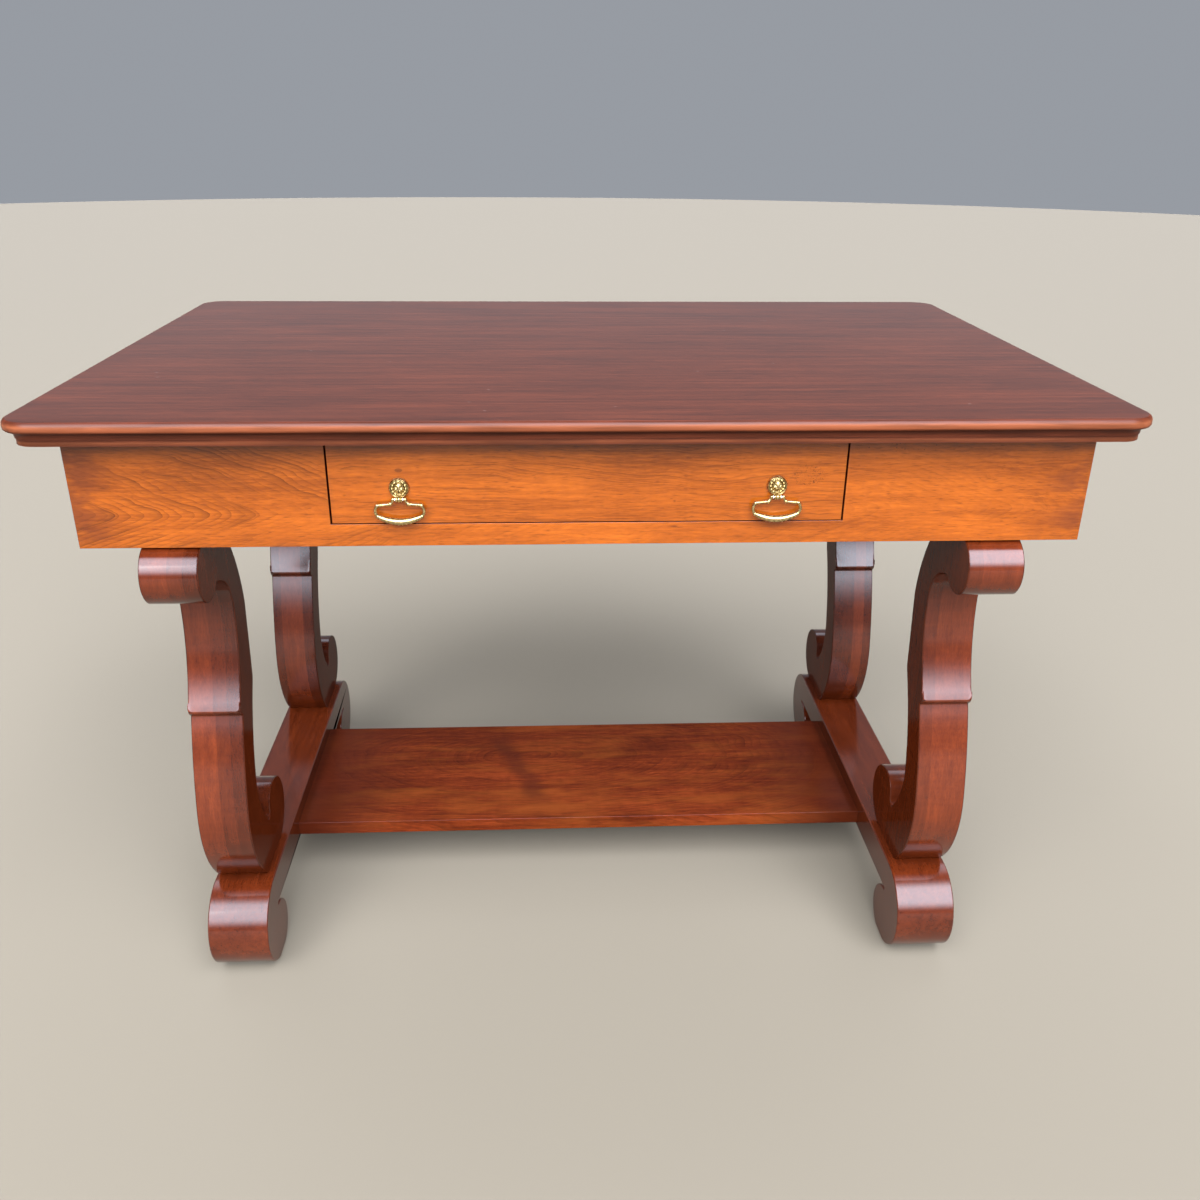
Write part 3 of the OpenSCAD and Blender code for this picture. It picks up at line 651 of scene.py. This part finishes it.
def new_tree(name, inputs):
    """A geometry tree with its own geometry in and out, and a named input for each size."""
    tree = bpy.data.node_groups.new(name, "GeometryNodeTree")
    tree.interface.new_socket("Geometry", in_out="INPUT", socket_type="NodeSocketGeometry")
    tree.interface.new_socket("Geometry", in_out="OUTPUT", socket_type="NodeSocketGeometry")
    for key, value in inputs.items():
        kind = "NodeSocketInt" if isinstance(value, int) else "NodeSocketFloat"
        kind = "NodeSocketMaterial" if isinstance(value, bpy.types.Material) else kind
        tree.interface.new_socket(key, in_out="INPUT", socket_type=kind)
    n = Nodes(tree)
    return tree, n, n.add("NodeGroupInput").outputs


def end_tree(n, geometry, material):
    real = n.add("GeometryNodeRealizeInstances", {0: geometry}).outputs[0]
    painted = n.add("GeometryNodeSetMaterial", {"Geometry": real, "Material": material}).outputs[0]
    n.add("NodeGroupOutput", {0: painted})


def grown(mesh, tree, inputs):
    """The plain mesh that a tree makes from a starting mesh."""
    piece = link(bpy.data.objects.new("work", mesh))
    modifier = piece.modifiers.new("grow", "NODES")
    modifier.node_group = tree
    for socket in tree.interface.items_tree:
        if socket.in_out == "INPUT" and socket.name in inputs:
            modifier[socket.identifier] = inputs[socket.name]
    return settled(piece)


def joined(n, parts):
    join = n.add("GeometryNodeJoinGeometry")
    for part in parts:
        n.tree.links.new(part, join.inputs[0])
    return join.outputs[0]


def closed(work, mesh):
    """Turns all faces outwards and puts the work into the mesh."""
    bmesh.ops.recalc_face_normals(work, faces=work.faces)
    work.to_mesh(mesh)
    work.free()


def line_mesh(name, points, **attributes):
    """A chain of edges through points, with a value for each point under each attribute's name."""
    mesh = bpy.data.meshes.new(name)
    mesh.from_pydata(points, [(i, i + 1) for i in range(len(points) - 1)], [])
    for key, values in attributes.items():
        mesh.attributes.new(key, "FLOAT", "POINT").data.foreach_set("value", values)
    return mesh


# ---------------------------------------------------------------- moulded top

NOSE_IN, NOSE_DROP, NOSE_FLAT, NOSE_UNDER = 5 * MM, 6.5 * MM, 2 * MM, 3.5 * MM
STEP_IN, COVE_IN, FILLET_H = 4 * MM, 5.5 * MM, 6.5 * MM
FILLET_IN, FILLET_CORNER = STEP_IN + COVE_IN + 1 * MM, 0.5 * MM
SEAM = 0.02 * MM


def edge_line():
    """The moulded edge from the flat of the top down to its underside, as (inset, depth)."""
    step = NOSE_DROP + NOSE_FLAT + NOSE_UNDER
    cove = TOP_T - FILLET_H - step
    quarter = [math.radians(a) for a in range(0, 91, 6)]
    nose = [(NOSE_IN * (1 - math.sin(a)), NOSE_DROP * (1 - math.cos(a))) for a in quarter]
    under = [(NOSE_UNDER * (1 - math.cos(a)), step - NOSE_UNDER * (1 - math.sin(a)))
             for a in quarter]
    hollow = [(STEP_IN + COVE_IN * math.cos(a), TOP_T - FILLET_H - cove * math.sin(a))
              for a in reversed(quarter)]
    fillet = [(FILLET_IN - FILLET_CORNER, TOP_T - FILLET_H),
              (FILLET_IN, TOP_T - FILLET_H + FILLET_CORNER), (FILLET_IN, TOP_T)]
    return nose + under + hollow + fillet


def board_tree():
    """Sweeps the edge line round the board and closes its two flats."""
    sizes = {"Width": TABLE_W, "Depth": TABLE_D, "Corner": CORNER_R, "Steps": 16,
             "Flat inset": NOSE_IN, "Flat height": TABLE_H, "Bed inset": FILLET_IN,
             "Bed height": TABLE_H - TOP_T, "Finish": top_wood}
    tree, n, given = new_tree("moulded_board", sizes)

    def round_rectangle(inset):
        width = n.math("SUBTRACT", given["Width"], n.scaled(inset, 2.0))
        depth = n.math("SUBTRACT", given["Depth"], n.scaled(inset, 2.0))
        square = n.add("GeometryNodeCurvePrimitiveQuadrilateral", {"Width": width, "Height": depth})
        radius = n.math("SUBTRACT", given["Corner"], inset)
        corners = {0: square.outputs[0], "Count": given["Steps"], "Radius": radius}
        return n.add("GeometryNodeFilletCurve", corners, mode="POLY").outputs[0]

    def flat(inset, height):
        face = n.add("GeometryNodeFillCurve", {0: round_rectangle(inset)}, mode="NGONS")
        up = {"Geometry": face.outputs[0], "Translation": n.vector(0.0, 0.0, height)}
        return n.add("GeometryNodeTransform", up).outputs[0]

    section = n.add("GeometryNodeMeshToCurve", {0: given["Geometry"]}).outputs[0]
    sweep = {"Curve": round_rectangle(0.0), "Profile Curve": section}
    edge = n.add("GeometryNodeCurveToMesh", sweep).outputs[0]
    top = flat(given["Flat inset"], given["Flat height"])
    bed = flat(given["Bed inset"], given["Bed height"])
    end_tree(n, joined(n, (edge, top, bed)), given["Finish"])
    return tree, sizes


def moulded_top():
    line = line_mesh("edge_line", [(-inset, depth - TABLE_H, 0) for inset, depth in edge_line()])
    tree, sizes = board_tree()
    mesh = grown(line, tree, sizes)
    work = bmesh.new()
    work.from_mesh(mesh)
    bmesh.ops.remove_doubles(work, verts=work.verts, dist=SEAM)
    closed(work, mesh)
    mesh.name = "tabletop_moulded"
    smooth(mesh, 28)
    two_finishes(mesh, top_wood, edge_wood, moulded_face)
    add_piece("tabletop_moulded", mesh, "frame", "tabletop")


# ---------------------------------------------------------------- pulls

# The relief's sizes are in millimetres, from the middle of the boss.
BOSS_R, BOSS_EDGE = 11.0, 1.8
RIM_R, RIM_W, RIM_H = 9.9, 0.8, 1.7
MANE_R, MANE_W, MANE_LOW, MANE_SWELL, MANE_LOBES = 7.3, 1.1, 0.9, 1.1, 13
FACE_HALF_W, FACE_HALF_H, FACE_UP, FACE_RISE = 5.6, 6.2, -0.2, 3.4
HOLLOW_REACH, HOLLOW_GAIN = 0.7, 2.4
RELIEF_ROWS, RELIEF_STEPS = 44, 80
# Knobs and pits on both sides, as (right, up, radius, height): sockets, eyes, brows, muzzle, cheeks.
PAIRED = ((2.0, 1.6, 1.8, -1.3), (1.9, 1.7, 1.0, 1.5), (2.3, 3.6, 1.6, 0.9), (1.3, -2.3, 1.5, 1.1),
          (3.7, -1.2, 1.5, 0.6))
# In the middle, as (squeeze across, squeeze along, up, radius, height): bridge, nose, mouth, chin.
MIDDLE = ((1, 0.45, 0.25, 0.95, 1.0), (1, 1, -1.1, 1.3, 1.1), (0.5, 1, -3.8, 0.9, -1.7),
          (1, 1, -5.0, 1.2, 0.7))

# Turned shapes as (way along the axis, radius).
NECK = ((0.0, 0.0), (0.0, 3.3), (1.2, 3.3), (1.8, 2.7), (4.8, 2.5), (6.2, 2.9), (6.2, 0.0))
KNUCKLE = ((-3.9, 0.0), (-3.9, 2.0), (-3.5, 2.7), (-2.7, 3.05), (-1.9, 2.7), (-1.6, 2.3),
           (-1.3, 2.8), (0.0, 3.1), (1.3, 2.8), (1.6, 2.3), (1.9, 2.7), (2.7, 3.05), (3.5, 2.7),
           (3.9, 2.0), (3.9, 0.0))
PIN = ((-6.4, 0.0), (-6.4, 1.35), (6.4, 1.35), (6.4, 0.0))
# Half of the bail from the pin to the grip as (x, z, thickness, bead), and the grip's sizes.
SHOULDER = ((6.4, 0.0, 1.5, 2.15), (7.4, -2.4, 1.5, 0), (8.6, -4.4, 1.6, 0),
            (9.4, -5.0, 1.9, 2.15), (11.0, -5.4, 1.6, 0), (14.0, -5.7, 1.45, 0),
            (17.5, -6.0, 1.45, 0), (20.0, -6.2, 1.5, 1.95), (21.8, -6.3, 1.6, 0),
            (23.4, -6.8, 1.8, 2.2), (24.6, -8.6, 1.7, 0), (25.5, -10.8, 1.7, 0),
            (25.8, -13.0, 1.7, 0), (25.5, -15.2, 1.7, 0), (24.6, -17.2, 1.7, 0),
            (23.2, -19.0, 1.9, 2.25))
GRIP_STEPS, GRIP_SAG, GRIP_THIN, GRIP_SWELL = 22, 6.0, 1.9, 1.9


def bump_at(u, v, centre, radius, height):
    """A smooth knob, or a pit where the height is negative."""
    q = ((u - centre[0]) ** 2 + (v - centre[1]) ** 2) / radius**2
    return height * (1 - q) ** 2 if q < 1 else 0.0


def relief(u, v):
    """Height of the cast face at (right, up): a small beast's mask in a rim."""
    rho = math.hypot(u, v)
    theta = math.atan2(v, u)
    base = BOSS_EDGE * math.sqrt(max(0.0, 1 - (rho / BOSS_R) ** 24))
    rim = RIM_H * math.exp(-(((rho - RIM_R) / RIM_W) ** 2))
    lobes = 0.5 + 0.5 * math.cos(MANE_LOBES * theta + math.pi / 2)
    mane = (MANE_LOW + MANE_SWELL * lobes) * math.exp(-(((rho - MANE_R) / MANE_W) ** 2))
    q = (u / FACE_HALF_W) ** 2 + ((v - FACE_UP) / FACE_HALF_H) ** 2
    face = FACE_RISE * (1 - q) ** 0.6 if q < 1 else 0.0
    for side in (-1, 1):
        for right, up, radius, height in PAIRED:
            face += bump_at(u, v, (right * side, up), radius, height)
    for wide, tall, up, radius, height in MIDDLE:
        face += bump_at(u * wide, v * tall, (0, up), radius, height)
    return base + rim + mane + face


def hollow_at(u, v, height):
    """How deep the relief lies under what is round it, 0 to 1; the brass is painted darker there as
    shade.
    """
    ways = [(HOLLOW_REACH * math.cos(a), HOLLOW_REACH * math.sin(a)) for a in (0, 1.57, 3.14, 4.71)]
    around = sum(relief(u + right, v + up) for right, up in ways) / len(ways)
    return min(1.0, max(0.0, (around - height) * HOLLOW_GAIN))


def turned(work, line, centre, axis, steps=28):
    """Adds a turned solid; line holds (way along the axis, radius) in millimetres, end to end."""
    axis = Vector(axis).normalized()
    u = axis.orthogonal().normalized()
    v = axis.cross(u)
    rings = []
    for along, radius in [(a * MM, r * MM) for a, r in line]:
        middle = Vector(centre) + axis * along
        if not radius:
            rings.append([work.verts.new(middle)] * steps)
            continue
        turn = [2 * math.pi * i / steps for i in range(steps)]
        ways = [math.cos(a) * u + math.sin(a) * v for a in turn]
        rings.append([work.verts.new(middle + radius * way) for way in ways])
    for low, high in zip(rings, rings[1:]):
        for i in range(steps):
            j = (i + 1) % steps
            corners = []
            for vert in (low[i], low[j], high[j], high[i]):
                if vert not in corners:
                    corners.append(vert)
            if len(corners) > 2:
                work.faces.new(corners)


def cast_boss(side):
    """The boss with its relief, the neck below it and the knuckle that holds the bail's pin."""
    work = bmesh.new()
    # How deep each point of the relief lies, for the brass's painted shade in the hollows.
    hollow = work.verts.layers.float.new("hollow")
    middle = Vector((side * PULL_X, APRON_Y, PULL_Z))

    def add_point(u, v, out, depth=0.0):
        vert = work.verts.new(middle + Vector((u * MM, -out * MM, v * MM)))
        vert[hollow] = depth
        return vert

    back = add_point(0, 0, 0)
    rings = []
    for i in range(1, RELIEF_ROWS + 1):
        rho = BOSS_R * (i / RELIEF_ROWS) ** 0.9
        ring = []
        for k in range(RELIEF_STEPS):
            a = 2 * math.pi * k / RELIEF_STEPS
            u, v = rho * math.cos(a), rho * math.sin(a)
            height = relief(u, v)
            ring.append(add_point(u, v, max(height, 0.0), hollow_at(u, v, height)))
        rings.append(ring)
    tip = add_point(0, 0, relief(0, 0))
    for k in range(RELIEF_STEPS):
        j = (k + 1) % RELIEF_STEPS
        work.faces.new((tip, rings[0][k], rings[0][j]))
        work.faces.new((back, rings[-1][j], rings[-1][k]))
        for low, high in zip(rings, rings[1:]):
            work.faces.new((low[k], high[k], high[j], low[j]))
    pin = middle + Vector((0, -PIN_OUT, -PIN_DROP))
    turned(work, NECK, pin + Vector((0, PIN_OUT, 0)), (0, -1, 0))
    turned(work, KNUCKLE, pin, (1, 0, 0))
    node = "boss_left" if side < 0 else "boss_right"
    mesh = bpy.data.meshes.new(node + "_cast")
    closed(work, mesh)
    smooth(mesh, 50)
    add_piece(node + "_cast", mesh, "drawer", node)


def bail_line():
    """Points of the bail's middle line from left to right, as in SHOULDER."""
    end_x, end_z = SHOULDER[-1][:2]
    grip = []
    for i in range(1, GRIP_STEPS):
        t = 1 - 2 * i / GRIP_STEPS
        swell = GRIP_THIN + GRIP_SWELL * (1 - t * t) ** 0.8
        grip.append((-end_x * t, end_z - GRIP_SAG * (1 - t * t), swell, 0))
    left = [(-x, z, thick, bead) for x, z, thick, bead in SHOULDER]
    return left + grip + list(reversed(SHOULDER))


def bail_tree():
    """Draws a round rod along a line and sets a bead wherever the line asks for one."""
    sizes = {"Rod sides": 18, "Bead sides": 18, "Bead rings": 12, "Finish": brass}
    tree, n, given = new_tree("beaded_rod", sizes)

    def value_of(name):
        node = n.add("GeometryNodeInputNamedAttribute", {"Name": name}, data_type="FLOAT")
        return node.outputs["Attribute"]

    path = n.add("GeometryNodeMeshToCurve", {0: given["Geometry"]}).outputs[0]
    outline = {"Resolution": given["Rod sides"], "Radius": 1.0}
    circle = n.add("GeometryNodeCurvePrimitiveCircle", outline).outputs[0]
    sweep = {"Curve": path, "Profile Curve": circle, "Scale": value_of("thickness"),
             "Fill Caps": True}
    rod = n.add("GeometryNodeCurveToMesh", sweep).outputs[0]
    round_bead = {"Segments": given["Bead sides"], "Rings": given["Bead rings"], "Radius": 1.0}
    ball = n.add("GeometryNodeMeshUVSphere", round_bead).outputs[0]
    size = value_of("bead")
    chosen = n.add("FunctionNodeCompare", {0: size, 1: 0.0}, operation="GREATER_THAN").outputs[0]
    points = {"Points": given["Geometry"], "Selection": chosen, "Instance": ball, "Scale": size}
    beads = n.add("GeometryNodeInstanceOnPoints", points).outputs[0]
    end_tree(n, joined(n, (rod, beads)), given["Finish"])
    return tree, sizes


def beaded_bail(side, tree, sizes):
    centre = Vector((side * PULL_X, APRON_Y - PIN_OUT, PULL_Z - PIN_DROP))
    line = bail_line()
    points = [centre + Vector((x, 0, z)) * MM for x, z, _, _ in line]
    thickness, bead = [p[2] * MM for p in line], [p[3] * MM for p in line]
    mesh = grown(line_mesh("bail_line", points, thickness=thickness, bead=bead), tree, sizes)
    work = bmesh.new()
    work.from_mesh(mesh)
    turned(work, PIN, centre, (1, 0, 0), 16)
    closed(work, mesh)
    node = "bail_left" if side < 0 else "bail_right"
    mesh.name = node + "_beaded"
    smooth(mesh, 50)
    add_piece(node + "_beaded", mesh, node, node)


dressed_boards()
moulded_top()
rod_tree, rod_sizes = bail_tree()
for pull_side in (-1, 1):
    cast_boss(pull_side)
    beaded_bail(pull_side, rod_tree, rod_sizes)

# ---------------------------------------------------------------- room, light and camera

# Each window's soft borders, as parts of a direction that is one long, and its share of full light.
WINDOW_FOOT, WINDOW_HEAD, WINDOW_SIDES = (0.12, 0.48), (0.84, 0.97), (0.42, 0.66)
FRONT_FROM, FRONT_SHARE = (0.0, 0.3), (-0.35, 0.4, 0.77, 0.95)
BACK_FOOT, BACK_SHARE = (0.62, 0.74), (0.0, 0.3, 0.0, 0.23)
MIRROR_LOSS = 0.45
GREY_SKY, WINDOW_LIGHT = (0.31, 0.33, 0.365, 1), (20.0, 21.8, 25.4, 1)

KEY_AT, KEY_AIM = (-2.3, -3.0, 2.7), (0, 0, 0.6)
KEY_SIZE, KEY_WATTS, KEY_COLOUR = 1.2, 40, (1.0, 0.98, 0.95)
FLOOR_R, FLOOR_COLOUR = 14.0, (0.136, 0.112, 0.078, 1)

# The camera that took the photograph; its focal length and the picture's width are in pixels.
CAMERA_AT = (-45.745 * MM, -1453.579 * MM, 1045.151 * MM)
YAW, PITCH, ROLL = 0.0519, 0.4192, -0.0097
FOCAL, PHOTO_W, SENSOR_W = 1095.966, 1200, 36


def key_light():
    lamp = bpy.data.lights.new("key", "AREA")
    lamp.size = KEY_SIZE
    lamp.energy = KEY_WATTS
    lamp.color = KEY_COLOUR
    light = link(bpy.data.objects.new("key", lamp))
    light.location = KEY_AT
    light.rotation_euler = (Vector(KEY_AIM) - Vector(KEY_AT)).to_track_quat("-Z", "Y").to_euler()


def studio_sky():
    """Even grey, with a broad soft window high in front and a weaker one high behind.

    The windows light the desk and shine in its varnish, but the backdrop itself stays plain.
    """
    world = bpy.data.worlds.new("studio")
    world.use_nodes = True
    n = Nodes(world.node_tree)
    n.tree.nodes.clear()
    way = n.add("ShaderNodeTexCoord").outputs["Generated"]
    x, y, z = n.add("ShaderNodeSeparateXYZ", {0: way}).outputs
    high = n.remap(z, *WINDOW_HEAD, 1.0, 0.0)
    middle = n.remap(n.math("ABSOLUTE", x), *WINDOW_SIDES, 1.0, 0.0)
    front = n.math("MULTIPLY", n.remap(z, *WINDOW_FOOT), n.remap(n.scaled(y, -1.0), *FRONT_FROM))
    front = n.math("MULTIPLY", front, n.remap(x, *FRONT_SHARE))
    back = n.math("MULTIPLY", n.remap(z, *BACK_FOOT), n.remap(y, *BACK_SHARE))
    rays = n.add("ShaderNodeLightPath").outputs
    seen = n.scaled(rays["Is Camera Ray"], -1.0, 1.0)
    shine = n.scaled(rays["Is Glossy Ray"], -MIRROR_LOSS, 1.0)
    window = n.sum(front, back)
    for share in (high, middle, seen, shine):
        window = n.math("MULTIPLY", window, share)
    background = n.add("ShaderNodeBackground", {"Color": n.mix(window, GREY_SKY, WINDOW_LIGHT)})
    n.add("ShaderNodeOutputWorld", {0: background.outputs[0]})
    bpy.context.scene.world = world


def studio():
    work = bmesh.new()
    bmesh.ops.create_circle(work, cap_ends=True, segments=96, radius=FLOOR_R)
    mesh = bpy.data.meshes.new("floor")
    work.to_mesh(mesh)
    work.free()
    material, n = new_material("pale_floor")
    finish_material(n, FLOOR_COLOUR, 0.85)
    mesh.materials.append(material)
    link(bpy.data.objects.new("floor", mesh))
    studio_sky()
    key_light()
    bpy.context.scene.view_settings.view_transform = "Standard"


def photo_camera():
    level = math.cos(PITCH)
    ahead = Vector((math.sin(YAW) * level, math.cos(YAW) * level, -math.sin(PITCH)))
    right = Vector((math.cos(YAW), -math.sin(YAW), 0))
    down = ahead.cross(right)
    across = math.cos(ROLL) * right + math.sin(ROLL) * down
    below = math.cos(ROLL) * down - math.sin(ROLL) * right
    camera = link(bpy.data.objects.new("camera", bpy.data.cameras.new("camera")))
    camera.data.sensor_width = SENSOR_W
    camera.data.lens = SENSOR_W * FOCAL / PHOTO_W
    turn = Matrix((across, -below, -ahead)).transposed().to_4x4()
    camera.matrix_world = Matrix.Translation(CAMERA_AT) @ turn
    bpy.context.scene.camera = camera


studio()
photo_camera()
